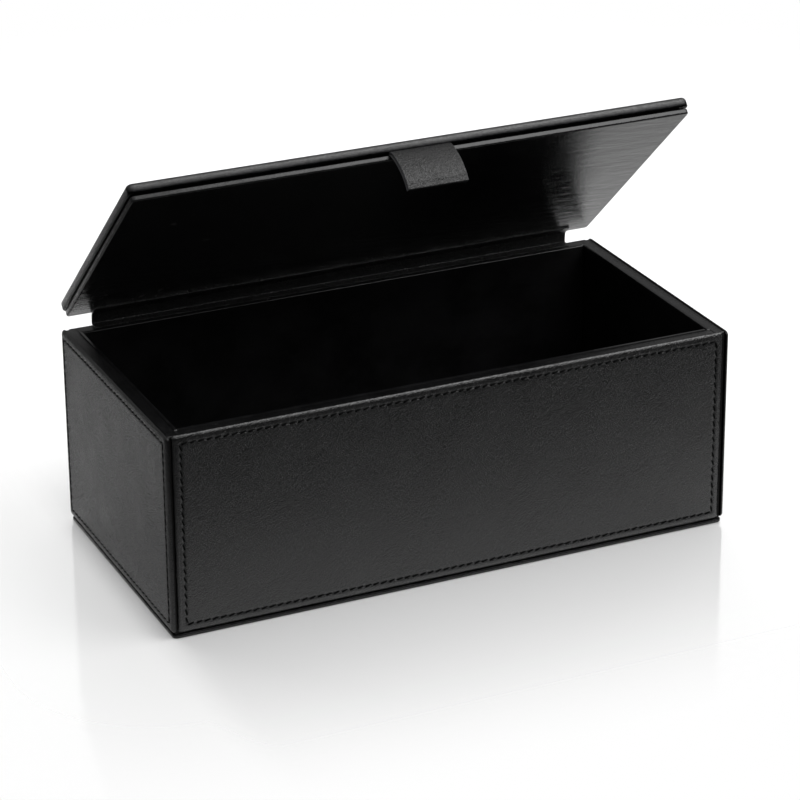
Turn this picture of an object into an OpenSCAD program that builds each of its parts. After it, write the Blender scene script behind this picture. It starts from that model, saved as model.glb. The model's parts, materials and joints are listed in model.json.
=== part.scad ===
// Black leather storage box for decks of cards, with a padded lid on a leather strip
// hinge and a two-layer leather pull tab. Millimetres. The origin is the centre of the
// base on the floor: +X along the box, -Y to the front, +Z up. The lid is drawn open.

/* [Box] */
// outside length of the box, along X
box_length = 300; // [260:1:340]
// outside depth of the box, along Y
box_depth = 148; // [130:1:170]
// height of the rim above the floor
box_height = 105; // [90:1:125]

/* [Walls] */
// thickness of the stitched leather panels on the outside
cover_t = 2.0; // [1.6:0.1:2.6]
// thickness of the wall boards
board_t = 5.4; // [4:0.2:7]
// thickness of the leather lining panels
liner_t = 1.9; // [1.4:0.1:2.4]
// thickness of the leather bands along the rim
band_t = 1.0; // [0.6:0.1:1.4]
// thickness of the leather-covered foot plate
foot_t = 2.0; // [1.6:0.1:3]
// thickness of the base board
floor_board_t = 3.5; // [2.5:0.5:5]
// groove between the front or back panel and the side panels
corner_gap = 1.3; // [0.6:0.1:2]
// distance of the stitching from the edges of a panel
stitch_inset = 3.8; // [3:0.1:6]

/* [Lid] */
// how far the lid stands open, in degrees
lid_open = 42.25; // [36:0.25:50]
// thickness of the padded outer lid panel
lid_outer_t = 5.4; // [4.6:0.1:7]
// thickness of the lining panel under the lid
lid_inner_t = 2.8; // [2.4:0.1:3.4]
// distance of the outer lid panel from the box's ends when shut
lid_end = 2.3; // [0.5:0.1:3]
// distance of the outer lid panel from the box's front when shut
lid_reveal = 1.5; // [0.5:0.1:2.5]

/* [Hinge] */
// length of the leather hinge strip
strip_length = 267; // [200:1:280]
// thickness of the leather hinge strip
strip_t = 0.7; // [0.5:0.05:0.8]

/* [Tab] */
// width of the pull tab
tab_width = 31.5; // [24:0.5:45]
// thickness of each of its two leather layers
tab_layer_t = 1.3; // [1:0.1:1.4]

/* [Hidden] */
$fn = 48;
x_out = box_length / 2;
y_out = box_depth / 2;
x_board = x_out - cover_t;        // outer faces of the boards
y_board = y_out - cover_t;
x_lining = x_board - board_t;     // inner faces of the boards
y_lining = y_board - board_t;
x_bay = x_lining - liner_t;       // inside of the card bay
y_bay = y_lining - liner_t;
foot_inset = 0.8;
foot_gap = 0.8;
foot_r = 0.6;
z_walls = foot_t + floor_board_t; // the wall boards stand on the base board
band_drop = 0.4;                  // rim bands lie this far under the panels' tops
z_band = box_height - band_drop;
z_boards = z_band - band_t;
liner_drop = 0.1;
floor_liner_t = 1.8;
panel_r = 1.6;                    // corner radius of a stitched panel
panel_soft = 0.9;                 // radius of its turned edges
liner_soft = 0.7;
band_soft = 0.3;
thread_w = 0.8;
thread_depth = 0.6;
thread_proud = 0.1;

hinge_y = y_out + 5.0;            // axis the lid turns about
hinge_z = box_height + 2.5;
z_under = box_height + 1.1;       // underside of the shut lid
lid_rear = 1.7;                   // inner panel's rear edge, in from the back face
inner_margin = 0.8;               // inner panel is this much shorter at each end
inner_front = 1.2;                // and this much at the front
lid_x = x_out - lid_end;
lid_y0 = -y_out + lid_reveal;
lid_y1 = y_out;
inner_x = lid_x - inner_margin;
inner_y0 = lid_y0 + inner_front;
inner_y1 = y_out - lid_rear;
seam_t = 0.8;                     // groove between the lid's two panels
seam_inset = 3.0;
z_inner = z_under + lid_inner_t;
z_outer = z_inner + seam_t;
z_lid_top = z_outer + lid_outer_t;
wrap_t = 1.2;                     // leather round the lid board and its padding
lining_t = 0.9;                   // leather round the lid's inner board
lid_board_t = 2.4;
lid_soft_top = 2.3;
lid_soft_low = 1.0;
lid_r = 3.0;
inner_r = 2.0;
inner_soft = 0.8;
lid_stitch_inset = 7.0;

leaf_low = 6.6;                   // how far in from the back face the lower leaf reaches
leaf_up = 7.0;                    // length of its upper leaf under the lid
leaf_edge = 0.2;                  // it starts this far in from the lining's rear edge
fold_in = 0.8;                    // the strip bends up this far in from the back face
strip_gap = 0.05;                 // it lies this close under the lid

tab_gap = 0.3;                    // between the two layers
tab_root = [lid_y0 - 0.6, z_inner + 0.4];
// the middle line of the tab, out and down from its root
tab_line = [[0, 0.1], [-1.0, -0.8], [-1.95, -2.0], [-2.85, -3.5], [-3.8, -5.4], [-4.8, -7.6],
            [-5.75, -10.1], [-6.6, -12.8], [-7.15, -15.6], [-7.4, -18.4], [-7.35, -21.0],
            [-7.15, -23.2]];

// a point of the shut lid (Y, Z), turned to where the open lid has it
function turned(p) = [
  hinge_y + (p[0] - hinge_y) * cos(lid_open) + (p[1] - hinge_z) * sin(lid_open),
  hinge_z - (p[0] - hinge_y) * sin(lid_open) + (p[1] - hinge_z) * cos(lid_open)];
function unit(v) = v / norm(v);
function left_of(v) = [-v[1], v[0]];
// normal of a line of points at its point i, long enough to keep an even thickness
function side_at(line, i) =
  let (last = len(line) - 1,
       a = left_of(unit(line[min(i + 1, last)] - line[min(i, last - 1)])),
       b = left_of(unit(line[max(i, 1)] - line[max(i - 1, 0)])))
  (a + b) / (1 + a * b);
// outline between two distances beside a line of points
function ribbon(line, near, far) = concat(
  [for (i = [0 : len(line) - 1]) line[i] + side_at(line, i) * near],
  [for (i = [len(line) - 1 : -1 : 0]) line[i] + side_at(line, i) * far]);

module rounded(w, h, r) {
  translate([r, 0]) square([w - 2 * r, h]);
  translate([0, r]) square([w, h - 2 * r]);
  for (x = [r, w - r], y = [r, h - r]) translate([x, y]) circle(r);
}

// a bar's section with its two upper corners rounded
module soft_top(w, h, r) {
  square([w, h - r]);
  translate([r, 0]) square([w - 2 * r, h]);
  for (x = [r, w - r]) translate([x, h - r]) circle(r);
}

module soft_section(w, h, top, low) {
  intersection() {
    soft_top(w, h, top);
    translate([0, h]) mirror([0, 1]) soft_top(w, h, low);
  }
}

// flat panel, w along X from its middle, h along Y, t along Z, edges soft above
module panel(w, h, t, plan_r, soft_r) {
  intersection() {
    translate([-w / 2, 0, 0]) linear_extrude(t) rounded(w, h, plan_r);
    translate([-w / 2, h, 0]) rotate([90, 0, 0]) linear_extrude(h) soft_top(w, t, soft_r);
    translate([-w / 2, 0, 0]) rotate([90, 0, 90]) linear_extrude(w) soft_top(h, t, soft_r);
  }
}

// slab with its edges soft above and below
module slab(w, h, t, plan_r, top, low) {
  intersection() {
    translate([-w / 2, 0, 0]) linear_extrude(t) rounded(w, h, plan_r);
    translate([-w / 2, h, 0]) rotate([90, 0, 0]) linear_extrude(h) soft_section(w, t, top, low);
    translate([-w / 2, 0, 0]) rotate([90, 0, 90]) linear_extrude(w)
      soft_section(h, t, top, low);
  }
}

// line of thread round a panel, inset from its edges
module stitch_line(w, h, inset, low, high) {
  translate([0, 0, low]) linear_extrude(high - low) difference() {
    translate([-w / 2 + inset, inset]) square([w - 2 * inset, h - 2 * inset]);
    translate([-w / 2 + inset + thread_w, inset + thread_w])
      square([w - 2 * (inset + thread_w), h - 2 * (inset + thread_w)]);
  }
}

module stitched_panel(w, h) {
  difference() {
    panel(w, h, cover_t, panel_r, panel_soft);
    stitch_line(w, h, stitch_inset, cover_t - thread_depth, cover_t + 1);
  }
}

module wall_thread(w, h) {
  stitch_line(w, h, stitch_inset, cover_t - thread_depth, cover_t + thread_proud);
}

// panels are drawn flat and stood up on one side of the box, facing out
module on_front(y) translate([0, -y, 0]) rotate([90, 0, 0]) children();
module on_back(y) translate([0, y, 0]) rotate([90, 0, 180]) children();
module on_right(x) translate([x, 0, 0]) rotate([90, 0, 90]) children();
module on_left(x) translate([-x, 0, 0]) rotate([90, 0, -90]) children();

// the same, facing the inside of the box
module inside_front() translate([0, -y_lining, 0]) rotate([90, 0, 180]) children();
module inside_back() translate([0, y_lining, 0]) rotate([90, 0, 0]) children();
module inside_right() translate([x_lining, 0, 0]) rotate([90, 0, -90]) children();
module inside_left() translate([-x_lining, 0, 0]) rotate([90, 0, 90]) children();

module opened() {
  translate([0, hinge_y, hinge_z]) rotate([-lid_open, 0, 0])
    translate([0, -hinge_y, -hinge_z]) children();
}

z_cover = foot_t + foot_gap;
long_cover_w = 2 * (x_board - corner_gap);
side_cover_w = 2 * y_out;
cover_h = box_height - z_cover;
back_cover_h = z_band - z_cover;
board_h = z_boards - z_walls;
liner_h = box_height - liner_drop - z_walls;

module leather() color([0.06, 0.06, 0.065]) children();
module lining() color([0.045, 0.045, 0.05]) children();
module board() color([0.42, 0.38, 0.32]) children();
module sewn() color([0.03, 0.03, 0.03]) children();

// ---- carcass ----
module base_cover() leather()
  translate([0, -y_out + foot_inset, 0])
    slab(2 * (x_out - foot_inset), 2 * (y_out - foot_inset), foot_t, 1.5, foot_r, foot_r);

module base_board() board()
  translate([-x_board, -y_board, foot_t]) cube([2 * x_board, 2 * y_board, floor_board_t]);

module front_board() board()
  translate([-x_lining, -y_board, z_walls]) cube([2 * x_lining, board_t, board_h]);

module back_board() board()
  translate([-x_lining, y_lining, z_walls]) cube([2 * x_lining, board_t, board_h]);

module left_board() board()
  translate([-x_board, -y_board, z_walls]) cube([board_t, 2 * y_board, board_h]);

module right_board() board()
  translate([x_lining, -y_board, z_walls]) cube([board_t, 2 * y_board, board_h]);

// ---- stitched outside panels and their thread ----
module front_cover() leather()
  on_front(y_board) translate([0, z_cover, 0]) stitched_panel(long_cover_w, cover_h);

module back_cover() leather()
  on_back(y_board) translate([0, z_cover, 0]) stitched_panel(long_cover_w, back_cover_h);

module left_cover() leather()
  on_left(x_board) translate([0, z_cover, 0]) stitched_panel(side_cover_w, cover_h);

module right_cover() leather()
  on_right(x_board) translate([0, z_cover, 0]) stitched_panel(side_cover_w, cover_h);

module front_thread() sewn()
  on_front(y_board) translate([0, z_cover, 0]) wall_thread(long_cover_w, cover_h);

module back_thread() sewn()
  on_back(y_board) translate([0, z_cover, 0]) wall_thread(long_cover_w, back_cover_h);

module left_thread() sewn()
  on_left(x_board) translate([0, z_cover, 0]) wall_thread(side_cover_w, cover_h);

module right_thread() sewn()
  on_right(x_board) translate([0, z_cover, 0]) wall_thread(side_cover_w, cover_h);

// ---- leather bands on the rim, over the boards' top edges ----
module band(x0, y0, w, d) {
  translate([x0 + w / 2, y0, z_boards]) panel(w, d, band_t, band_soft, band_soft);
}

module front_rim() leather() band(-x_lining, -y_board, 2 * x_lining, board_t);

module back_rim() leather() band(-x_lining, y_lining, 2 * x_lining, board_t);

module left_rim() leather() band(-x_board, -y_board, board_t, 2 * y_board);

module right_rim() leather() band(x_lining, -y_board, board_t, 2 * y_board);

// ---- lining of the bay ----
module floor_liner() lining()
  translate([-x_bay, -y_bay, z_walls]) cube([2 * x_bay, 2 * y_bay, floor_liner_t]);

module wall_liner(w) panel(w, liner_h, liner_t, 0.4, liner_soft);

module front_liner() lining()
  inside_front() translate([0, z_walls, 0]) wall_liner(2 * x_bay);

module back_liner() lining()
  inside_back() translate([0, z_walls, 0]) wall_liner(2 * x_bay);

module left_liner() lining()
  inside_left() translate([0, z_walls, 0]) wall_liner(2 * y_lining);

module right_liner() lining()
  inside_right() translate([0, z_walls, 0]) wall_liner(2 * y_lining);

// ---- hinge strip: one leaf on the back rim, one under the lid, a bend between ----
strip_z = z_band + strip_t / 2;
strip_fold = y_out - fold_in;
leaf_down = strip_t / 2 + strip_gap;
strip_line = [
  [y_out - leaf_low, strip_z],
  [strip_fold, strip_z],
  turned([inner_y1 - leaf_edge, z_under - leaf_down]),
  turned([inner_y1 - leaf_up, z_under - leaf_down])];

module hinge_strip() leather()
  translate([-strip_length / 2, 0, 0]) rotate([90, 0, 90]) linear_extrude(strip_length)
    polygon(ribbon(strip_line, -strip_t / 2, strip_t / 2));

// ---- lid ----
module lid_cover() leather() opened() difference() {
  translate([0, lid_y0, z_outer])
    slab(2 * lid_x, lid_y1 - lid_y0, lid_outer_t, lid_r, lid_soft_top, lid_soft_low);
  translate([-lid_x + wrap_t, lid_y0 + wrap_t, z_outer - 1])
    cube([2 * (lid_x - wrap_t), lid_y1 - lid_y0 - 2 * wrap_t, lid_outer_t + 1 - wrap_t]);
  translate([0, lid_y0, z_lid_top])
    stitch_line(2 * lid_x, lid_y1 - lid_y0, lid_stitch_inset, -thread_depth, 1);
}

module lid_thread() sewn() opened() translate([0, lid_y0, z_lid_top])
  stitch_line(2 * lid_x, lid_y1 - lid_y0, lid_stitch_inset, -thread_depth, thread_proud);

module lid_board() board() opened()
  translate([-lid_x + wrap_t, lid_y0 + wrap_t, z_outer])
    cube([2 * (lid_x - wrap_t), lid_y1 - lid_y0 - 2 * wrap_t, lid_board_t]);

module lid_padding() color([0.75, 0.72, 0.62]) opened()
  translate([-lid_x + wrap_t, lid_y0 + wrap_t, z_outer + lid_board_t])
    cube([2 * (lid_x - wrap_t), lid_y1 - lid_y0 - 2 * wrap_t,
          lid_outer_t - wrap_t - lid_board_t]);

module lid_liner() lining() opened() difference() {
  translate([0, inner_y0, z_under])
    slab(2 * inner_x, inner_y1 - inner_y0, lid_inner_t, inner_r, 0.5, inner_soft);
  translate([-inner_x + lining_t, inner_y0 + lining_t, z_under + lining_t])
    cube([2 * (inner_x - lining_t), inner_y1 - inner_y0 - 2 * lining_t, lid_inner_t]);
}

// it fills the lining's tray and stands up in the middle to carry the outer panel
module lid_inner_board() board() opened() {
  translate([-inner_x + lining_t, inner_y0 + lining_t, z_under + lining_t])
    cube([2 * (inner_x - lining_t), inner_y1 - inner_y0 - 2 * lining_t,
          lid_inner_t - lining_t]);
  translate([-inner_x + seam_inset, inner_y0 + seam_inset, z_under + lining_t])
    cube([2 * (inner_x - seam_inset), inner_y1 - inner_y0 - 2 * seam_inset,
          z_outer - z_under - lining_t]);
}

// ---- pull tab ----
module tab_layer(near, far) opened() translate([-tab_width / 2, 0, 0])
  rotate([90, 0, 90]) linear_extrude(tab_width)
    translate(tab_root) polygon(ribbon(tab_line, near, far));

module tab_outer() leather() tab_layer(-tab_gap / 2 - tab_layer_t, -tab_gap / 2);

module tab_inner() lining() tab_layer(tab_gap / 2, tab_gap / 2 + tab_layer_t);

base_cover();
base_board();
front_board();
back_board();
left_board();
right_board();
front_cover();
back_cover();
left_cover();
right_cover();
front_thread();
back_thread();
left_thread();
right_thread();
front_rim();
back_rim();
left_rim();
right_rim();
floor_liner();
front_liner();
back_liner();
left_liner();
right_liner();
hinge_strip();
lid_cover();
lid_thread();
lid_board();
lid_padding();
lid_liner();
lid_inner_board();
tab_outer();
tab_inner();
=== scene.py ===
import itertools
import json
import math
import random

import bmesh
import bpy
from bpy.props import FloatProperty, FloatVectorProperty, PointerProperty
from mathutils import Matrix, Vector, noise


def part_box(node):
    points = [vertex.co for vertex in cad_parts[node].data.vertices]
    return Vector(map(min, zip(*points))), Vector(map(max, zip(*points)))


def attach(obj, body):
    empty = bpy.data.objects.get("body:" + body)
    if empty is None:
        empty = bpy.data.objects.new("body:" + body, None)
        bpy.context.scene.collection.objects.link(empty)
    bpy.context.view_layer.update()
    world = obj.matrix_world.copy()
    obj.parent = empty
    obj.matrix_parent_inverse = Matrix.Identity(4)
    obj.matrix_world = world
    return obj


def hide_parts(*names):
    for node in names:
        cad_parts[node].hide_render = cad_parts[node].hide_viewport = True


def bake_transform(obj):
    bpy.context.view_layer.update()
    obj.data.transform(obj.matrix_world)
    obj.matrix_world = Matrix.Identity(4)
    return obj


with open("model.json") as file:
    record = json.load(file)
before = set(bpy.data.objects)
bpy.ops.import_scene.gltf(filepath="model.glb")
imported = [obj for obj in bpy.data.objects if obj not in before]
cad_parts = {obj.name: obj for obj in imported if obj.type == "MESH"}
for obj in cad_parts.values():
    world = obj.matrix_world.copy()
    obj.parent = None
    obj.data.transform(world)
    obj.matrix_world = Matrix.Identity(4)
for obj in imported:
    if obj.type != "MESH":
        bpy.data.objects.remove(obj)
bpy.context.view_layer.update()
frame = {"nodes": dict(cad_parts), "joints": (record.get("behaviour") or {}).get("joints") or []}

bl_info = {
    "name": "Leather Deck Box",
    "version": (1, 0, 0),
    "blender": (4, 5, 0),
    "location": "3D View > Sidebar > Deck Box",
    "description": "Dresses a lidded card box in stitched leather round its CAD frame",
    "category": "Object",
}

MM = 0.001
TINY = 1e-5  # metres; points nearer than this count as level

# ---- the lid's hinge, read from the frame ----
lid_joint = next(j for j in frame["joints"] if j["name"] == "lid_hinge")
HINGE = Vector(lid_joint["pos_m"])
SHUT_TURN = math.radians(lid_joint["range_deg"][0])
TO_SHUT = (
    Matrix.Translation(HINGE)
    @ Matrix.Rotation(SHUT_TURN, 4, Vector(lid_joint["axis"]))
    @ Matrix.Translation(-HINGE)
)
TO_OPEN = TO_SHUT.inverted()


# ---------------------------------------------------------------- sizes and colours


def length(label, about, default):
    """A length property, in metres, with its default in millimetres."""
    return FloatProperty(
        name=label,
        description=about,
        default=default * MM,
        unit="LENGTH",
        subtype="DISTANCE",
        precision=5,
    )


def shade(label, about, default):
    """A colour property."""
    return FloatVectorProperty(
        name=label, description=about, default=default, subtype="COLOR", size=3, min=0, max=1
    )


def share(label, about, default):
    """A factor from 0 to 1."""
    return FloatProperty(
        name=label, description=about, default=default, min=0, max=1, subtype="FACTOR"
    )


class DeckBoxSizes(bpy.types.PropertyGroup):
    """Sizes of the leatherwork that a maker would change."""

    edge_roll: length("Edge roll", "Radius of a wall panel's turned edge", 1.0)
    shoulder: length("Shoulder", "How far in a wall panel swells from its turned edge", 3.3)
    panel_corner: length("Panel corner", "Radius of the front and back panels' corners", 1.7)
    side_corner: length("Side corner", "Radius of the side panels' corners", 2.6)
    stitch_pitch: length("Stitch pitch", "Distance from one stitch to the next", 4.2)
    stitch_thick: length("Thread", "Thickness of the sewing thread", 0.98)
    stitch_lean: FloatProperty(
        name="Stitch lean",
        description="How far a saddle stitch leans from its row",
        default=math.radians(20),
        unit="ROTATION",
        subtype="ANGLE",
    )
    channel: length("Stitch channel", "How far the leather dips along its stitches", 0.24)
    pucker: length("Pucker", "How much further it dips at each stitch hole", 0.24)
    band_roll: length("Band roll", "Radius of a rim band's edges", 0.42)
    liner_roll: length("Lining roll", "Radius of a lining panel's edges", 0.75)
    lid_crown: length("Lid crown", "How far the padding lifts the top of the lid", 0.9)


class DeckBoxFinish(bpy.types.PropertyGroup):
    """Colours and surface of the leathers, thread, boards and floor."""

    leather: shade("Leather", "Colour of the outer leather", (0.0052, 0.0052, 0.0055))
    leather_rough: share("Leather roughness", "Roughness of the outer leather", 0.2)
    grain: length("Grain", "Size of a pebble in the outer leather's grain", 0.9)
    lining: shade("Lining", "Colour of the lining leather", (0.0065, 0.0065, 0.0068))
    lining_rough: share("Lining roughness", "Roughness of the lining leather", 0.17)
    lining_grain: length("Lining grain", "Size of a pebble in the lining's grain", 1.1)
    thread: shade("Thread", "Colour of the waxed sewing thread", (0.0035, 0.0035, 0.0037))
    card: shade("Boards", "Colour of the black card of the boards", (0.012, 0.0115, 0.011))
    foam: shade("Padding", "Colour of the foam in the lid", (0.09, 0.09, 0.095))
    floor: shade("Floor", "Colour of the studio floor", (0.88, 0.88, 0.88))


# ---------------------------------------------------------------- shader boards


class Wire:
    """One value in a shader. Sums and products of wires add their Math nodes."""

    def __init__(self, board, socket):
        self.board, self.socket = board, socket

    def _math(self, operation, first, second):
        return self.board.add("ShaderNodeMath", {"operation": operation}, {0: first, 1: second})

    def __add__(self, other):
        return self._math("ADD", self, other)

    __radd__ = __add__

    def __sub__(self, other):
        return self._math("SUBTRACT", self, other)

    def __rsub__(self, other):
        return self._math("SUBTRACT", other, self)

    def __mul__(self, other):
        return self._math("MULTIPLY", self, other)

    __rmul__ = __mul__


class Board:
    """The nodes of one material, or of the world."""

    def __init__(self, owner):
        owner.use_nodes = True
        self.tree = owner.node_tree
        self.tree.nodes.clear()

    def add(self, kind, settings=None, values=None, out=0):
        """Adds a node: its settings first, then the values or links of its sockets."""
        node = self.tree.nodes.new(kind)
        for name, value in (settings or {}).items():
            setattr(node, name, value)
        for name, value in (values or {}).items():
            if isinstance(value, Wire):
                self.tree.links.new(value.socket, node.inputs[name])
            else:
                node.inputs[name].default_value = value
        return Wire(self, node.outputs[out]) if len(node.outputs) else None

    def place(self):
        """The place on the object, in metres."""
        return self.add("ShaderNodeTexCoord", out="Object")

    def noise(self, where, size, detail=2.0, out=0):
        """Noise whose lumps are about size metres across."""
        return self.add(
            "ShaderNodeTexNoise", {}, {"Vector": where, "Scale": 1 / size, "Detail": detail}, out
        )

    def ramp(self, value, low, high, start=0.0, end=1.0):
        """A smooth rise from start to end while value goes from low to high."""
        return self.add(
            "ShaderNodeMapRange",
            {"interpolation_type": "SMOOTHSTEP"},
            {"Value": value, "From Min": low, "From Max": high, "To Min": start, "To Max": end},
        )

    def blend(self, amount, first, second):
        """Colour first where amount is 0, second where it is 1."""
        return self.add(
            "ShaderNodeMix", {"data_type": "RGBA"}, {0: amount, 6: first, 7: second}, 2
        )

    def bent(self, where, size, by):
        """The place, pushed about by up to half of by, in lumps of that size."""
        push = self.add(
            "ShaderNodeVectorMath",
            {"operation": "SUBTRACT"},
            {0: self.noise(where, size, 2.0, 1), 1: (0.5, 0.5, 0.5)},
        )
        return self.add(
            "ShaderNodeVectorMath",
            {"operation": "MULTIPLY_ADD"},
            {0: push, 1: (by, by, by), 2: where},
        )

    def size(self, value):
        """A value without its sign."""
        return self.add("ShaderNodeMath", {"operation": "ABSOLUTE"}, {0: value})

    def stretched(self, where, turn, long):
        """The place squeezed along a turned X, so that lumps grow that many times longer."""
        return self.add(
            "ShaderNodeMapping",
            {"vector_type": "TEXTURE"},
            {"Vector": where, "Rotation": turn, "Scale": (long, 1.0, 1.0)},
        )

    def axes(self, where):
        """The X, Y and Z of a place."""
        split = self.add("ShaderNodeSeparateXYZ", {}, {0: where}).socket.node
        return [Wire(self, out) for out in split.outputs]

    def bump(self, height, strength, distance):
        """A normal tilted by a height, which counts in that many metres."""
        return self.add(
            "ShaderNodeBump",
            {},
            {"Strength": strength, "Distance": distance, "Height": height},
        )

    def surface(self, values):
        """The Principled surface and the material's output."""
        skin = self.add("ShaderNodeBsdfPrincipled", {}, values)
        self.add("ShaderNodeOutputMaterial", {}, {"Surface": skin})


def rgba(colour, times=1.0):
    """A colour made that many times lighter, with its alpha."""
    return (*(min(1.0, c * times) for c in colour), 1.0)


def leather(name, colour, rough, pebble, depth, shine, drag):
    """Dyed, pressed leather: pebbled grain of a depth, slow mottling, slanting creases,
    edges rubbed lighter (partly wear, partly a painted highlight), cut edges painted pale
    as a highlight (partly the raw edge's own colour), and painted shade, a black metallic
    that kills the reflection, in the grooves and stitch holes. shine is its IOR, and
    drag the height of the long ripples left by stretching it over a board. Heights meet
    in millimetres, so the bump's distance is one."""
    material = bpy.data.materials.new(name)
    b = Board(material)
    where = b.place()
    mottle = b.noise(where, 24 * MM, 4.0)
    fine = b.noise(where, pebble / 2.2, 4.0)
    cells = b.add(
        "ShaderNodeTexVoronoi",
        {"feature": "DISTANCE_TO_EDGE"},
        {"Vector": b.bent(where, pebble * 2.2, pebble), "Scale": 1 / pebble},
    )
    rise = b.ramp(cells, 0.0, 0.34)
    slant = b.stretched(where, (0.0, -0.4, 0.25), 2.6)
    crease = b.ramp(b.size(b.noise(slant, 8 * MM, 3.0) - 0.5), 0.0, 0.03)
    grain_lines = b.noise(slant, pebble * 0.9, 3.0)
    swell = b.noise(b.stretched(where, (0.0, 0.0, 0.22), 6.0), 4 * MM, 2.0)
    # attributes: rubbed edges (wear and painted highlight), cut edges (painted pale highlight)
    # and painted shade
    wear_and_highlight, cut, painted_shade = (
        b.add("ShaderNodeAttribute", {"attribute_name": kind}, {}, "Fac")
        for kind in ("wear_and_highlight", "cut", "painted_shade")
    )
    # rubbed edges lightened in colour: partly wear, partly a painted highlight along the edges
    rub_and_highlight = wear_and_highlight * b.ramp(b.noise(where, 5 * MM, 4.0), 0.35, 0.75)
    grain = b.blend(rise, rgba(colour, 0.5), rgba(colour))
    tone = b.blend(b.ramp(mottle, 0.3, 0.7), grain, rgba(colour, 1.4))
    worn_and_highlit = b.blend(rub_and_highlight * 0.6, tone, rgba(colour, 2.3))
    relief = rise * 0.3 + fine * 0.8 + crease * 0.2 + grain_lines
    b.surface(
        {
            # painted highlight: cut edges made pale, partly the raw edge's own colour
            "Base Color": b.blend(cut, worn_and_highlit, rgba(colour, 25.0)),
            # painted shade: a black metallic that kills the reflection in the grooves between
            # panels and along the stitch holes
            "Metallic": painted_shade,
            "Roughness": rough + (mottle - 0.5) * 0.16 + (1 - rise) * 0.1 - wear_and_highlight * 0.1,
            "IOR": shine,
            "Normal": b.bump(relief * (depth / MM) + swell * (drag / MM), 1.0, MM),
        }
    )
    return material


def waxed_thread(name, colour):
    """Black waxed thread, two plies twisted together."""
    material = bpy.data.materials.new(name)
    b = Board(material)
    where = b.place()
    ply = b.add(
        "ShaderNodeTexWave",
        {"bands_direction": "DIAGONAL"},
        {"Vector": where, "Scale": 900.0, "Distortion": 1.5, "Detail": 1.0},
    )
    wax = b.noise(where, 1.2 * MM, 3.0)
    b.surface(
        {
            "Base Color": b.blend(wax, rgba(colour, 0.5), rgba(colour, 1.2)),
            "Roughness": 0.5 + wax * 0.14,
            "IOR": 1.15,
            "Normal": b.bump(ply * 0.6 + wax * 0.4, 0.5, 0.05 * MM),
        }
    )
    return material


def black_card(name, colour):
    """Through-dyed card of the boards, with its pressed fibres."""
    material = bpy.data.materials.new(name)
    b = Board(material)
    where = b.place()
    fibre = b.noise(b.bent(where, 3 * MM, 4 * MM), 0.6 * MM, 5.0)
    b.surface(
        {
            "Base Color": b.blend(b.ramp(fibre, 0.4, 0.7), rgba(colour), rgba(colour, 2.4)),
            "Roughness": 0.86 + fibre * 0.1,
            "Normal": b.bump(fibre, 0.5, 0.08 * MM),
        }
    )
    return material


def lid_foam(name, colour):
    """Open-cell charcoal foam."""
    material = bpy.data.materials.new(name)
    b = Board(material)
    where = b.place()
    cell = b.add("ShaderNodeTexVoronoi", {}, {"Vector": where, "Scale": 1 / (0.7 * MM)})
    b.surface(
        {
            "Base Color": b.blend(cell, rgba(colour), rgba(colour, 0.45)),
            "Roughness": 0.95,
            "Normal": b.bump(cell, 0.6, 0.2 * MM),
        }
    )
    return material


def finishes():
    """Each finish by name, made once."""
    look = bpy.context.scene.deck_box_finish
    outer = (look.leather, look.leather_rough, look.grain)
    lining = (look.lining, look.lining_rough, look.lining_grain)
    makers = {
        "outer_skin": lambda n: leather(n, *outer, depth=0.19 * MM, shine=1.72, drag=0.02 * MM),
        "tab_skin": lambda n: leather(n, *outer, depth=0.26 * MM, shine=1.55, drag=0.04 * MM),
        "lining_skin": lambda n: leather(
            n, *lining, depth=0.066 * MM, shine=1.46, drag=0.26 * MM
        ),
        "waxed_thread": lambda n: waxed_thread(n, look.thread),
        "black_card": lambda n: black_card(n, look.card),
        "lid_foam": lambda n: lid_foam(n, look.foam),
    }
    return {n: bpy.data.materials.get(n) or make(n) for n, make in makers.items()}


# ---------------------------------------------------------------- places from the frame


def node_box(node, shut=False):
    """Lowest and highest corner of a CAD node, at rest or with the lid turned shut."""
    if not shut:
        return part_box(node)
    points = [TO_SHUT @ v.co for v in frame["nodes"][node].data.vertices]
    return (
        Vector([min(p[k] for p in points) for k in range(3)]),
        Vector([max(p[k] for p in points) for k in range(3)]),
    )


def opened(y, z):
    """Where a point (Y, Z) of the shut lid is with the lid open."""
    point = TO_OPEN @ Vector((0, y, z))
    return Vector((point.y, point.z))


def facing(out):
    """Axes of a panel that faces out: across it, up it, and out of it."""
    out = Vector(out)
    if abs(out.z) > 0.5:
        across = Vector((1, 0, 0))
        up = out.cross(across)
    else:
        up = Vector((0, 0, 1))
        across = up.cross(out)
    return Matrix((across, up, out)).transposed()


def fit(node, out, shut=False):
    """A node's size across, up and out, and the matrix that puts a flat slab there."""
    low, high = node_box(node, shut)
    turn = facing(out)
    corners = [turn.transposed() @ Vector(c) for c in itertools.product(*zip(low, high))]
    lows = Vector([min(c[k] for c in corners) for k in range(3)])
    highs = Vector([max(c[k] for c in corners) for k in range(3)])
    middle = (lows + highs) / 2
    place = Matrix.Translation(turn @ Vector((middle.x, middle.y, lows.z))) @ turn.to_4x4()
    return highs - lows, TO_OPEN @ place if shut else place


WALLS = {"front": (0, -1, 0), "back": (0, 1, 0), "left": (-1, 0, 0), "right": (1, 0, 0)}


# ---------------------------------------------------------------- shaping


def bevel(bm, edges, radius, segments):
    """Rounds edges to a radius."""
    bmesh.ops.bevel(
        bm,
        geom=edges,
        offset=radius,
        segments=segments,
        profile=0.5,
        affect="EDGES",
        material=-1,
        clamp_overlap=False,
    )


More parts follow.
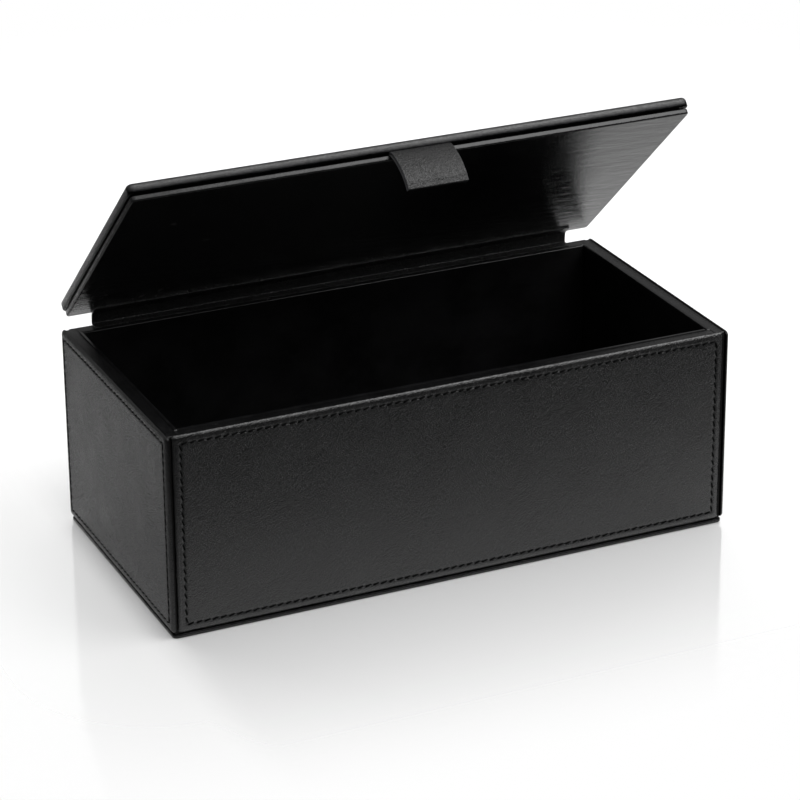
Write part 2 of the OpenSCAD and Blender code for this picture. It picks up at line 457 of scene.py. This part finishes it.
def slab(size, corner, roll, back_roll=0.0, segments=5):
    """Closed slab on Z 0, its plan corners rounded and its upper edges turned over."""
    bm = bmesh.new()
    bmesh.ops.create_cube(bm, size=1.0)
    bmesh.ops.scale(bm, vec=size, verts=bm.verts)
    bmesh.ops.translate(bm, vec=(0, 0, size.z / 2), verts=bm.verts)
    upright = [e for e in bm.edges if abs(e.verts[0].co.z - e.verts[1].co.z) > size.z / 2]
    bevel(bm, upright, corner, segments)
    top = [e for e in bm.edges if min(v.co.z for v in e.verts) > size.z - TINY]
    bevel(bm, top, roll, segments)
    if back_roll:
        bottom = [e for e in bm.edges if max(v.co.z for v in e.verts) < TINY]
        bevel(bm, bottom, back_roll, segments)
    bm.normal_update()
    return bm


def face_towards(bm, sign):
    """The largest face that looks up (1) or down (-1)."""
    return max((f for f in bm.faces if f.normal.z * sign > 0.9), key=lambda f: f.calc_area())


def step_in(bm, distance, rise, sign=1):
    """Takes the main face in by a distance from its edge, and up or down."""
    bmesh.ops.inset_region(
        bm,
        faces=[face_towards(bm, sign)],
        thickness=distance,
        depth=rise,
        use_even_offset=True,
        use_boundary=True,
    )
    bm.normal_update()


def hollow(bm, wall, depth):
    """Opens the slab's back, leaving a skin of that thickness round it."""
    step_in(bm, wall, 0.0, -1)
    step_in(bm, TINY, -depth, -1)


def split_edge(edge, count):
    """Puts evenly spaced points on an edge and leaves the faces beside it whole."""
    start = edge.verts[0]
    for left in range(count + 1, 1, -1):
        _, start = bmesh.utils.edge_split(edge, start, 1 / left)


def seam_rows(size, inset, pitch):
    """Half sizes of a stitch rectangle and the number of stitches along its two ways."""
    half = Vector((size.x / 2 - inset, size.y / 2 - inset))
    return half, [max(1, round(2 * h / pitch)) for h in half]


def close_corners(bm, size, start, distance):
    """Takes the main face in, from start inside the edge, and draws each of its rounded
    corners to one point."""
    step_in(bm, distance, 0.0)
    for sx, sy in itertools.product((-1, 1), repeat=2):
        face = face_towards(bm, 1)
        at = Vector((sx * (size.x / 2 - start - distance), sy * (size.y / 2 - start - distance)))
        near = [v for v in face.verts if (v.co.xy - at).length < 0.5 * MM]
        bmesh.ops.pointmerge(bm, verts=near, merge_co=(at.x, at.y, near[0].co.z))
    bm.normal_update()


def shoulder(inside, reach, depth):
    """Height of a rounded edge, a distance in from it, under the face it runs into."""
    u = max(0.0, 1 - inside / reach)
    return -depth * (1 - math.sqrt(1 - u * u))


def level_at(rows, at):
    """The height at a distance, read between rows of (distance, height)."""
    for (a, low), (b, high) in zip(rows, rows[1:]):
        if a <= at <= b:
            return low + (high - low) * (at - a) / (b - a)
    return rows[0][1] if at < rows[0][0] else rows[-1][1]


def sew_channel(bm, size, corner, roll, swell, rows, shade_rows, inset, sizes):
    """Shapes the main face: swell is the (reach, depth) of its shoulder, and rows give
    (distance from the edge, height), pulled down at each stitch hole along the seam.
    Its painted-shade rows give (distance, how much painted shade), and the sides under
    the turned edge get full painted shade."""
    spread = 0.5 * MM  # room between the corners and the first row, and past the last one
    hole_reach = 1.1 * MM
    arc = corner - roll
    step_in(bm, arc * 0.4, 0.0)
    close_corners(bm, size, roll + arc * 0.4, arc * 0.5)
    at = corner + spread
    step_in(bm, at - roll - arc * 0.9, 0.0)
    room = [1 - (rows[-1][0] + spread) / (s / 2) for s in size.xy]
    face = face_towards(bm, 1)
    corners = set(face.verts)
    for edge in face.edges[:]:
        split_edge(edge, round(edge.calc_length() / (sizes.stitch_pitch / 4)))
    for v in face_towards(bm, 1).verts:
        if v not in corners:
            way = 0 if abs(abs(v.co.y) - size.y / 2) < abs(abs(v.co.x) - size.x / 2) else 1
            v.co[way] *= room[way]
    for distance, _ in rows:
        if distance > at + 0.2 * MM:
            step_in(bm, distance - at, 0.0)
            at = distance
    half, counts = seam_rows(size, inset, sizes.stitch_pitch)
    # painted shade along the groove and the stitch holes, as a black metallic
    painted_shade = bm.verts.layers.float.new("painted_shade")
    for v in bm.verts:
        # the sides under the turned edge lie in the groove between panels and take full painted
        # shade
        if v.co.z < size.z - roll - TINY:
            v[painted_shade] = 1.0
            continue
        over = [abs(v.co[k]) - size[k] / 2 + corner for k in (0, 1)]
        inside = max(0.0, corner - (math.hypot(*over) if min(over) > 0 else max(over)))
        way = 0 if abs(abs(v.co.y) - half.y) < abs(abs(v.co.x) - half.x) else 1
        gap = 2 * half[way] / counts[way]
        hole = 0.5 + 0.5 * math.cos(2 * math.pi * (v.co[way] + half[way]) / gap)
        hole *= max(0.0, 1 - abs(inside - inset) / hole_reach)
        level = shoulder(inside, *swell) + level_at(rows, inside)
        v.co.z = size.z + level - sizes.pucker * hole
        v[painted_shade] = level_at(shade_rows, inside)
    bm.normal_update()


def mark_wear_and_highlight(bm, size, reach):
    """Marks how rubbed the leather is, which also places a painted highlight along its edges: 1
    at the panel's edges, 0 from reach inwards.
    """
    layer = bm.verts.layers.float.new("wear_and_highlight")
    for v in bm.verts:
        inside = min(size.x / 2 - abs(v.co.x), size.y / 2 - abs(v.co.y))
        v[layer] = max(0.0, min(1.0, 1 - inside / reach))


def one_stitch(long, thick, drop):
    """A stitch along X: fattest in the middle, its ends pulled down into their holes."""
    bm = bmesh.new()
    bmesh.ops.create_circle(bm, cap_ends=True, segments=7, radius=thick / 2)
    bmesh.ops.rotate(bm, matrix=Matrix.Rotation(math.pi / 2, 3, "Y"), verts=bm.verts)
    stations = [(-0.5, 0.45, -1.0), (-0.36, 0.9, -0.3), (-0.1, 1.0, 0.0)]
    stations += [(0.16, 1.0, -0.02), (0.38, 0.85, -0.35), (0.5, 0.45, -1.0)]
    ring, size_now = bm.verts[:], 1.0
    centre = Vector((0, 0, 0))
    for step, (along, fat, down) in enumerate(stations):
        if step > 0:
            made = bmesh.ops.extrude_face_region(bm, geom=[cap])["geom"]
            ring = [g for g in made if isinstance(g, bmesh.types.BMVert)]
        if step > 1:  # the first cap closes the end; a later one would be a wall inside
            bmesh.ops.delete(bm, geom=[cap], context="FACES_ONLY")
        cap = next(f for f in ring[0].link_faces if set(f.verts) == set(ring))
        new = Vector((along * long, 0, down * drop))
        bmesh.ops.scale(
            bm,
            vec=(1, fat / size_now, fat / size_now),
            space=Matrix.Translation(-centre),
            verts=ring,
        )
        bmesh.ops.translate(bm, vec=new - centre, verts=ring)
        centre, size_now = new, fat
    bmesh.ops.recalc_face_normals(bm, faces=bm.faces)
    return bm


def stitch_row(size, inset, level, sizes, seed):
    """Stitches all round a panel, each leaning the same way from its row."""
    rng = random.Random(seed)
    half, counts = seam_rows(size, inset, sizes.stitch_pitch)
    shape = one_stitch(sizes.stitch_pitch * 0.93, sizes.stitch_thick, drop=0.42 * MM)
    pattern = bpy.data.meshes.new("stitch_pattern")
    shape.to_mesh(pattern)
    shape.free()
    bm = bmesh.new()
    for side in range(4):
        way = side % 2
        gap = 2 * half[way] / counts[way]
        turn = Matrix.Rotation(side * math.pi / 2, 4, "Z")
        for i in range(counts[way]):
            along = -half[way] + (i + 0.5) * gap
            lean = sizes.stitch_lean * (1 + rng.uniform(-0.18, 0.18))
            lift = level + rng.uniform(-0.03, 0.03) * MM
            put = (
                turn
                @ Matrix.Translation((along, -half[1 - way], lift))
                @ Matrix.Rotation(lean, 4, "Z")
                @ Matrix.Scale(gap / sizes.stitch_pitch, 4, (1, 0, 0))
            )
            had = len(bm.verts)
            bm.from_mesh(pattern)
            bm.verts.ensure_lookup_table()
            bmesh.ops.transform(bm, matrix=put, verts=bm.verts[had:])
    bpy.data.meshes.remove(pattern)
    return bm


def rounded_line(points, radius, steps=5):
    """A line of (Y, Z) points with each bend rounded off."""
    line = [Vector(points[0])]
    for before, here, after in zip(points, points[1:], points[2:]):
        here = Vector(here)
        a = here + (Vector(before) - here).normalized() * radius
        c = here + (Vector(after) - here).normalized() * radius
        for k in range(steps + 1):
            t = k / steps
            line.append(a * (1 - t) ** 2 + here * 2 * t * (1 - t) + c * t * t)
    return line + [Vector(points[-1])]


def flowing_line(points, spans):
    """A smooth line through (Y, Z) points, each gap cut into that many spans."""
    ends = [2 * points[0] - points[1], *points, 2 * points[-1] - points[-2]]
    line = []
    for a, b, c, d in zip(ends, ends[1:], ends[2:], ends[3:]):
        for k in range(spans):
            t = k / spans
            line.append(
                0.5
                * (
                    2 * b
                    + (c - a) * t
                    + (2 * a - 5 * b + 4 * c - d) * t * t
                    + (3 * b - a - 3 * c + d) * t**3
                )
            )
    return line + [points[-1]]


def leather_strip(width, line, near, far, columns, edge, towards, fullness=None, rumple=None):
    """A strip of leather across X that follows a line of (Y, Z) points. Its faces lie at
    distances near and far from the line, on the side that looks towards a direction.
    fullness thins it at each point, and rumple gives the height of its creases."""
    bm = bmesh.new()
    out = bm.verts.layers.float_vector.new("out")
    full = bm.verts.layers.float.new("full")
    last = len(line) - 1
    bmesh.ops.create_grid(bm, x_segments=columns, y_segments=last, size=0.5)
    for v in bm.verts:
        row = round((v.co.y + 0.5) * last)
        v[full] = fullness[row] if fullness else 1.0
        v.co = Vector((v.co.x * width, line[row].x, line[row].y))
    bm.normal_update()
    if sum((f.normal.dot(Vector(towards)) for f in bm.faces), 0.0) < 0:
        bmesh.ops.reverse_faces(bm, faces=bm.faces)
        bm.normal_update()
    for v in bm.verts:
        v[out] = v.normal
    for v in bm.verts:
        v.co += v[out] * near * v[full]
    made = bmesh.ops.extrude_face_region(bm, geom=bm.faces[:])["geom"]
    for v in (g for g in made if isinstance(g, bmesh.types.BMVert)):
        push = rumple(v.co) if rumple else 0.0
        v.co += v[out] * ((far - near) * v[full] + push)
    bmesh.ops.recalc_face_normals(bm, faces=bm.faces)
    rim = [e for e in bm.edges if e.is_manifold and e.calc_face_angle() > math.radians(50)]
    bevel(bm, rim, edge, 3)
    # cut marks the strip's cut ends, which the leather paints pale as a highlight, partly the raw
    # edge's own colour
    cut = bm.verts.layers.float.new("cut")
    for v in bm.verts:
        v[cut] = 1.0 if width / 2 - abs(v.co.x) < 0.6 * edge else 0.0
    return bm


def finished(name, bm, finish, nodes, body=None, matrix=None):
    """Makes the piece: smooth except at real corners, in place in its own mesh."""
    if matrix is not None:
        bmesh.ops.transform(bm, matrix=matrix, verts=bm.verts)
    mesh = bpy.data.meshes.new(name)
    bm.to_mesh(mesh)
    bm.free()
    mesh.shade_smooth()
    mesh.set_sharp_from_angle(angle=math.radians(38))
    mesh.materials.append(finishes()[finish])
    piece = bpy.data.objects.new(name, mesh)
    bpy.context.scene.collection.objects.link(piece)
    if body:
        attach(piece, body)
    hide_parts(*nodes)
    return piece


# ---------------------------------------------------------------- the pieces

WALL_INSET = 4.2 * MM  # from a panel's edge to its row of stitches
LID_INSET = 7.4 * MM
WALL_STITCH_SINK = 0.24 * MM  # how far the stitches lie under the panel's face
LID_STITCH_SINK = 0.55 * MM
WALL_SHOULDER = 0.75  # depth of the shoulder, as a share of the panel's thickness
# painted shade on the foot plate's sides and, heavier, on its top under the walls
FOOT_SIDE_SHADE, FOOT_TOP_SHADE = 0.35, 0.9
LID_CORNER, LID_ROLL = 3.0 * MM, 2.1 * MM
SLACK = 0.02 * MM  # keeps the foam and the lid panel's hollow apart
STRIP_THICK = 0.7 * MM
STRIP_LEAF = 7.0 * MM  # of the hinge strip that lies under the lid
LAYER_GAP = 0.05 * MM
# rows of (distance from the edge, how much painted shade), at the groove by the edge and along
# the stitch holes
WALL_SHADE = [(0.0, 0.5), (0.15 * MM, 0.0), (3.8 * MM, 0.0), (4.2 * MM, 0.25), (4.6 * MM, 0.0)]
LID_SHADE = [(6.7 * MM, 0.0), (7.4 * MM, 0.25), (8.1 * MM, 0.0)]


def wall_rows(channel):
    """Rows of (distance from the edge, height) across a wall panel's stitch channel."""
    shape = [(2.9, 0.0), (3.4, 0.12), (3.8, 0.6), (4.2, 1.0), (4.6, 0.6), (5.0, 0.12)]
    shape += [(5.6, 0.02), (6.4, 0.0), (7.0, 0.0)]
    return [(at * MM, -dip * channel) for at, dip in shape]


def lid_rows(crown):
    """Rows of (distance from the edge, height) over the lid's border, channel and padded
    top."""
    shape = [(2.1, 0.0), (4.2, 0.16), (5.0, 0.16), (5.9, -0.02), (6.7, -0.36), (7.4, -0.55)]
    shape += [(8.1, -0.36), (9.0, 0.02)]
    swell = [(10.5, 0.5), (12.5, 0.8), (15, 0.95), (18, 1)]
    rows = [(at * MM, level * MM) for at, level in shape]
    return rows + [(at * MM, crown * part) for at, part in swell]


class DECKBOX_OT_boards(bpy.types.Operator):
    """Gives the wall, base and lid boards their black card"""

    bl_idname = "deck_box.boards"
    bl_label = "Boards"

    def execute(self, context):
        for name in (
            "base_board",
            "front_board",
            "back_board",
            "left_board",
            "right_board",
            "lid_board",
            "lid_inner_board",
        ):
            mesh = frame["nodes"][name].data
            mesh.materials.clear()
            mesh.materials.append(finishes()["black_card"])
        return {"FINISHED"}


class DECKBOX_OT_foot_plate(bpy.types.Operator):
    """Adds the leather-covered plate that the box stands on"""

    bl_idname = "deck_box.foot_plate"
    bl_label = "Foot plate"

    def execute(self, context):
        size, place = fit("base_cover", (0, 0, 1))
        bm = slab(size, corner=2.4 * MM, roll=0.75 * MM, back_roll=0.45 * MM)
        mark_wear_and_highlight(bm, size, reach=1.5 * MM)
        # painted shade: darker on the sides, darkest on the top where the walls stand on it
        painted_shade = bm.verts.layers.float.new("painted_shade")
        for v in bm.verts:
            v[painted_shade] = FOOT_SIDE_SHADE if v.co.z < 0.7 * size.z else FOOT_TOP_SHADE
        finished("foot_plate", bm, "outer_skin", ["base_cover"], "box", place)
        return {"FINISHED"}


class DECKBOX_OT_wall_panels(bpy.types.Operator):
    """Adds the four outside panels, with turned edges and a sunk stitch channel"""

    bl_idname = "deck_box.wall_panels"
    bl_label = "Wall panels"

    def execute(self, context):
        sizes = context.scene.deck_box_sizes
        for side, out in WALLS.items():
            size, place = fit(side + "_cover", out)
            corner = sizes.panel_corner if side in ("front", "back") else sizes.side_corner
            bm = slab(size, corner, sizes.edge_roll)
            swell = (sizes.shoulder, WALL_SHOULDER * size.z)
            rows = wall_rows(sizes.channel)
            sew_channel(
                bm, size, corner, sizes.edge_roll, swell, rows, WALL_SHADE, WALL_INSET, sizes
            )
            mark_wear_and_highlight(bm, size, reach=1.8 * MM)
            finished(
                side + "_panel", bm, "outer_skin", [side + "_cover"], "box", place
            )
        return {"FINISHED"}


class DECKBOX_OT_wall_stitches(bpy.types.Operator):
    """Sews the four outside panels with leaning saddle stitches"""

    bl_idname = "deck_box.wall_stitches"
    bl_label = "Wall stitches"

    def execute(self, context):
        sizes = context.scene.deck_box_sizes
        for seed, (side, out) in enumerate(WALLS.items()):
            size, place = fit(side + "_cover", out)
            level = size.z - WALL_STITCH_SINK
            bm = stitch_row(size, WALL_INSET, level, sizes, seed)
            finished(
                side + "_stitches", bm, "waxed_thread", [side + "_thread"], "box", place
            )
        return {"FINISHED"}


class DECKBOX_OT_rim_bands(bpy.types.Operator):
    """Adds the leather bands over the top edges of the wall boards"""

    bl_idname = "deck_box.rim_bands"
    bl_label = "Rim bands"

    def execute(self, context):
        sizes = context.scene.deck_box_sizes
        for side in WALLS:
            size, place = fit(side + "_rim", (0, 0, 1))
            bm = slab(size, corner=0.45 * MM, roll=sizes.band_roll)
            mark_wear_and_highlight(bm, size, reach=1.0 * MM)
            finished(
                side + "_band", bm, "outer_skin", [side + "_rim"], "box", place
            )
        return {"FINISHED"}


class DECKBOX_OT_bay_lining(bpy.types.Operator):
    """Adds the lining of the bay: four walls with rolled tops, and the floor"""

    bl_idname = "deck_box.bay_lining"
    bl_label = "Bay lining"

    def execute(self, context):
        sizes = context.scene.deck_box_sizes
        for side, out in WALLS.items():
            size, place = fit(side + "_liner", -Vector(out))
            bm = slab(size, corner=0.8 * MM, roll=sizes.liner_roll)
            mark_wear_and_highlight(bm, size, reach=1.2 * MM)
            finished(
                side + "_lining",
                bm,
                "lining_skin",
                [side + "_liner"],
                "box",
                place,
            )
        size, place = fit("floor_liner", (0, 0, 1))
        bm = slab(size, corner=0.8 * MM, roll=0.6 * MM)
        mark_wear_and_highlight(bm, size, reach=1.2 * MM)
        finished(
            "floor_lining", bm, "lining_skin", ["floor_liner"], "box", place
        )
        return {"FINISHED"}


class DECKBOX_OT_lid_panel(bpy.types.Operator):
    """Adds the padded outer panel of the lid, with the foam inside it"""

    bl_idname = "deck_box.lid_panel"
    bl_label = "Lid panel"

    def execute(self, context):
        sizes = context.scene.deck_box_sizes
        size, place = fit("lid_cover", (0, 0, 1), shut=True)
        bm = slab(size, LID_CORNER, LID_ROLL, back_roll=1.0 * MM, segments=7)
        swell = (LID_ROLL, LID_ROLL)
        rows = lid_rows(sizes.lid_crown)
        sew_channel(bm, size, LID_CORNER, LID_ROLL, swell, rows, LID_SHADE, LID_INSET, sizes)
        foam, foam_place = fit("lid_padding", (0, 0, 1), shut=True)
        wall = (size.x - foam.x) / 2 - SLACK
        top = (place.inverted() @ foam_place).translation.z + foam.z
        hollow(bm, wall, top + SLACK)
        mark_wear_and_highlight(bm, size, reach=2.6 * MM)
        cover = finished(
            "lid_panel", bm, "outer_skin", ["lid_cover"], "lid", place
        )

        bm = slab(foam, corner=1.6 * MM, roll=0.7 * MM)
        pad = finished(
            "lid_pad", bm, "lid_foam", ["lid_padding"], "lid", foam_place
        )
        return {"FINISHED"}


class DECKBOX_OT_lid_stitches(bpy.types.Operator):
    """Sews the top of the lid"""

    bl_idname = "deck_box.lid_stitches"
    bl_label = "Lid stitches"

    def execute(self, context):
        sizes = context.scene.deck_box_sizes
        size, place = fit("lid_cover", (0, 0, 1), shut=True)
        level = size.z - LID_STITCH_SINK
        bm = stitch_row(size, LID_INSET, level, sizes, seed=11)
        finished("lid_stitches", bm, "waxed_thread", ["lid_thread"], "lid", place)
        return {"FINISHED"}


class DECKBOX_OT_lid_lining(bpy.types.Operator):
    """Adds the lining panel under the lid, wrapped round its inner board"""

    bl_idname = "deck_box.lid_lining"
    bl_label = "Lid lining"

    def execute(self, context):
        size, place = fit("lid_liner", (0, 0, -1), shut=True)
        bm = slab(size, corner=2.0 * MM, roll=0.85 * MM, back_roll=0.5 * MM)
        hollow(bm, wall=0.88 * MM, depth=size.z - 0.92 * MM)
        mark_wear_and_highlight(bm, size, reach=1.4 * MM)
        finished("lid_lining", bm, "lining_skin", ["lid_liner"], "lid", place)
        return {"FINISHED"}


class DECKBOX_OT_hinge_web(bpy.types.Operator):
    """Adds the leather strip that hinges the lid: a leaf on the rim, a fold, and a leaf
    under the lid"""

    bl_idname = "deck_box.hinge_web"
    bl_label = "Hinge strip"

    def execute(self, context):
        low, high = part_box("hinge_strip")
        half = STRIP_THICK / 2
        rim_z = low.z + half
        lid_low, lid_high = node_box("lid_liner", shut=True)
        under = lid_low.z - half - LAYER_GAP
        fold = (high.y - half - LAYER_GAP, rim_z)
        points = [
            (low.y, rim_z),
            fold,
            opened(lid_high.y - 0.2 * MM, under),
            opened(lid_high.y - STRIP_LEAF, under),
        ]
        line = rounded_line(points, radius=1.1 * MM)

        def sway(co):
            """Slow unevenness of the leather."""
            return noise.noise(Vector((co.x * 90, co.y * 300, co.z * 300))) * 0.06 * MM

        bm = leather_strip(
            high.x - low.x,
            line,
            near=-half,
            far=half,
            columns=60,
            edge=0.16 * MM,
            towards=(0, -1, 0.4),
            rumple=sway,
        )
        strip = finished("hinge_web", bm, "outer_skin", ["hinge_strip"])
        long = sum(((a - b).length for a, b in zip(line, line[1:])), 0.0)
        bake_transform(strip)
        return {"FINISHED"}


class DECKBOX_OT_pull_tab(bpy.types.Operator):
    """Adds the two leather layers of the pull tab, tucked into the lid's front seam"""

    bl_idname = "deck_box.pull_tab"
    bl_label = "Pull tab"

    def execute(self, context):
        lid_low, _ = node_box("lid_cover", shut=True)
        low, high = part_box("tab_outer")
        # the middle line, out of the seam and down, in millimetres from the seam's mouth
        fall = [(3.2, 0.0), (1.8, 0.0), (0.7, -0.15), (-0.3, -0.75), (-1.2, -1.75)]
        fall += [(-2.3, -3.3), (-3.3, -5.2), (-4.35, -7.4), (-5.25, -9.8), (-6.05, -12.4)]
        fall += [(-6.6, -15.2), (-6.85, -18.0), (-6.8, -20.6), (-6.6, -22.7)]
        mouth = Vector((lid_low.y - 0.1 * MM, lid_low.z - 0.35 * MM))
        spans = 4
        line = flowing_line([mouth + Vector(p) * MM for p in fall], spans)
        # skived thin where it is held in the seam, and full soon after it leaves
        full = [min(1.0, 0.35 + 0.65 * max(0.0, k / spans - 1.0) / 2.5) for k in range(len(line))]
        line = [opened(*p) for p in line]
        end = line[-1]
        width = high.x - low.x

        def rumple(co):
            """Small creases towards the free edge, a soft lump and a pressed line."""
            up = (Vector((co.y, co.z)) - end).length / MM
            crease = noise.noise(Vector((co.x * 420, up * 0.11, 3.0))) * 0.10
            lump = 0.3 * math.exp(-((co.x / MM - 1.5) ** 2 + (up - 3.8) ** 2) / 5.0)
            pressed = 0.16 * math.exp(-(((up - 1.9) / 0.8) ** 2))
            return (crease * max(0.0, 1 - up / 9) + lump - pressed) * MM

        for name, node, near, far, push, slot in (
            ("tab_front", "tab_outer", 0.25, 1.45, rumple, "outer_leather"),
            ("tab_back", "tab_inner", -1.45, -0.25, None, "lining_leather"),
        ):
            bm = leather_strip(
                width,
                line,
                near * MM,
                far * MM,
                columns=44,
                edge=0.2 * MM,
                towards=(0, -1, 0.5),
                fullness=full,
                rumple=push,
            )
            skin = "tab_skin" if push else "lining_skin"
            layer = finished(name, bm, skin, [node])
            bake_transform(layer)
        return {"FINISHED"}


# ---------------------------------------------------------------- the stage


def softbox(context, name, place, aim, size, radiance):
    """An even rectangle of light at a place, turned to look at another."""
    lamp = bpy.data.lights.new(name, "AREA")
    lamp.shape = "RECTANGLE"
    lamp.size, lamp.size_y = size
    lamp.energy = radiance * size[0] * size[1] * math.pi
    box = bpy.data.objects.new(name, lamp)
    look = Vector(aim) - Vector(place)
    turn = look.to_track_quat("-Z", "Y").to_matrix().to_4x4()
    box.matrix_world = Matrix.Translation(place) @ turn
    box.visible_camera = False
    context.scene.collection.objects.link(box)
    return box


def lay_floor(context):
    """A pale round floor with a soft polish. It fades out far away, in front of the box
    and, in part, to its left."""
    bm = bmesh.new()
    bmesh.ops.create_circle(bm, cap_ends=True, segments=96, radius=1.1)
    bmesh.ops.translate(bm, vec=(0, 0, -0.15 * MM), verts=bm.verts)
    mesh = bpy.data.meshes.new("studio_floor")
    bm.to_mesh(mesh)
    bm.free()
    floor = bpy.data.objects.new("studio_floor", mesh)
    context.scene.collection.objects.link(floor)

    material = bpy.data.materials.new("studio_floor")
    b = Board(material)
    where = b.place()
    x, y, _ = b.axes(where)
    away = b.add("ShaderNodeVectorMath", {"operation": "LENGTH"}, {0: where}, "Value")
    haze = b.noise(where, 60 * MM, 2.0)
    ahead = b.ramp(y, -0.25, -0.08)
    beside = b.ramp(x, -0.165, -0.14, 0.5, 1.0) * b.ramp(x, -0.30, -0.16, 0.25, 1.0)
    b.surface(
        {
            "Base Color": rgba(context.scene.deck_box_finish.floor),
            "Roughness": 0.06 + haze * 0.05,
            "IOR": 1.5,
            "Alpha": ahead * beside * b.ramp(away, 0.45, 0.9, 1.0, 0.0),
        }
    )
    mesh.materials.append(material)
    return floor


def light_world(context):
    """Soft light from overhead, strongest in front and to the right, with a little from
    behind. The camera sees it as plain white."""
    world = bpy.data.worlds.new("studio")
    context.scene.world = world
    b = Board(world)
    across, ahead, up = b.axes(b.add("ShaderNodeTexCoord", out="Generated"))
    overhead = b.ramp(up, 0.48, 0.60) * b.ramp(ahead, -0.25, 0.45, 1.0, 0.12)
    overhead *= b.ramp(across, -0.2, 0.6, 0.9, 2.6)
    behind = b.ramp(ahead, -0.1, 0.6) * b.ramp(up, -0.02, 0.06) * 0.2
    light = b.add("ShaderNodeBackground", {}, {"Strength": overhead + behind + 0.05})
    seen = b.add("ShaderNodeBackground", {}, {"Color": (1, 1, 1, 1), "Strength": 1.0})
    path = b.add("ShaderNodeLightPath", out="Is Camera Ray")
    both = b.add("ShaderNodeMixShader", {}, {0: path, 1: light, 2: seen})
    b.add("ShaderNodeOutputWorld", {}, {"Surface": both})


def set_camera(context):
    """A long-lens camera, in front and to the left of the box, looking down on it."""
    turn, rise, roll = (math.radians(a) for a in (-24.455, 22.174, 0.476))
    aim, distance = Vector((3.3 * MM, 0, 109.91 * MM)), 1.6029
    back = Vector(
        (
            math.sin(turn) * math.cos(rise),
            -math.cos(turn) * math.cos(rise),
            math.sin(rise),
        )
    )
    right = Vector((math.cos(turn), math.sin(turn), 0))
    upward = back.cross(right)
    tilt = Matrix.Rotation(-roll, 3, back)
    camera = bpy.data.cameras.new("studio_camera")
    camera.sensor_width = 36
    camera.lens = 144.607
    camera.shift_y = -0.10
    camera.clip_start = 0.01
    mount = bpy.data.objects.new("studio_camera", camera)
    axes = Matrix((tilt @ right, tilt @ upward, back)).transposed()
    mount.matrix_world = Matrix.Translation(aim + back * distance) @ axes.to_4x4()
    context.scene.collection.objects.link(mount)
    context.scene.camera = mount


class DECKBOX_OT_stage(bpy.types.Operator):
    """Adds the pale floor, the soft studio light and the camera"""

    bl_idname = "deck_box.stage"
    bl_label = "Stage"

    def execute(self, context):
        floor = lay_floor(context)
        light_world(context)
        softbox(
            context,
            "key",
            place=(0.62, -0.45, 1.0),
            aim=(0.0, 0.0, 0.15),
            size=(0.8, 0.9),
            radiance=2.2,
        )
        glow = softbox(
            context,
            "glow",
            place=(0.6, 1.35, 0.62),
            aim=(0.6, 0.0, 0.62),
            size=(3.6, 1.25),
            radiance=2.3,
        )
        only = bpy.data.collections.new("lit_by_glow")
        only.objects.link(floor)
        glow.light_linking.receiver_collection = only
        context.scene.view_settings.view_transform = "Standard"
        set_camera(context)
        return {"FINISHED"}


STEPS = (
    DECKBOX_OT_boards,
    DECKBOX_OT_foot_plate,
    DECKBOX_OT_wall_panels,
    DECKBOX_OT_wall_stitches,
    DECKBOX_OT_rim_bands,
    DECKBOX_OT_bay_lining,
    DECKBOX_OT_lid_panel,
    DECKBOX_OT_lid_stitches,
    DECKBOX_OT_lid_lining,
    DECKBOX_OT_hinge_web,
    DECKBOX_OT_pull_tab,
    DECKBOX_OT_stage,
)


class DECKBOX_PT_sidebar(bpy.types.Panel):
    """Lists the steps of the box and its sizes and finishes"""

    bl_label = "Deck Box"
    bl_idname = "DECKBOX_PT_sidebar"
    bl_space_type = "VIEW_3D"
    bl_region_type = "UI"
    bl_category = "Deck Box"

    def draw(self, context):
        for group in (context.scene.deck_box_sizes, context.scene.deck_box_finish):
            column = self.layout.column(align=True)
            for name in group.bl_rna.properties.keys():
                if name not in ("rna_type", "name"):
                    column.prop(group, name)
        column = self.layout.column(align=True)
        for step in STEPS:
            column.operator(step.bl_idname)


CLASSES = (DeckBoxSizes, DeckBoxFinish, *STEPS, DECKBOX_PT_sidebar)


def register():
    for cls in CLASSES:
        bpy.utils.register_class(cls)
    bpy.types.Scene.deck_box_sizes = PointerProperty(type=DeckBoxSizes)
    bpy.types.Scene.deck_box_finish = PointerProperty(type=DeckBoxFinish)


def unregister():
    del bpy.types.Scene.deck_box_finish
    del bpy.types.Scene.deck_box_sizes
    for cls in reversed(CLASSES):
        bpy.utils.unregister_class(cls)


def main():
    """Makes every piece and the stage."""
    register()
    for step in STEPS:
        group, name = step.bl_idname.split(".")
        getattr(getattr(bpy.ops, group), name)()


if __name__ == "__main__":
    main()
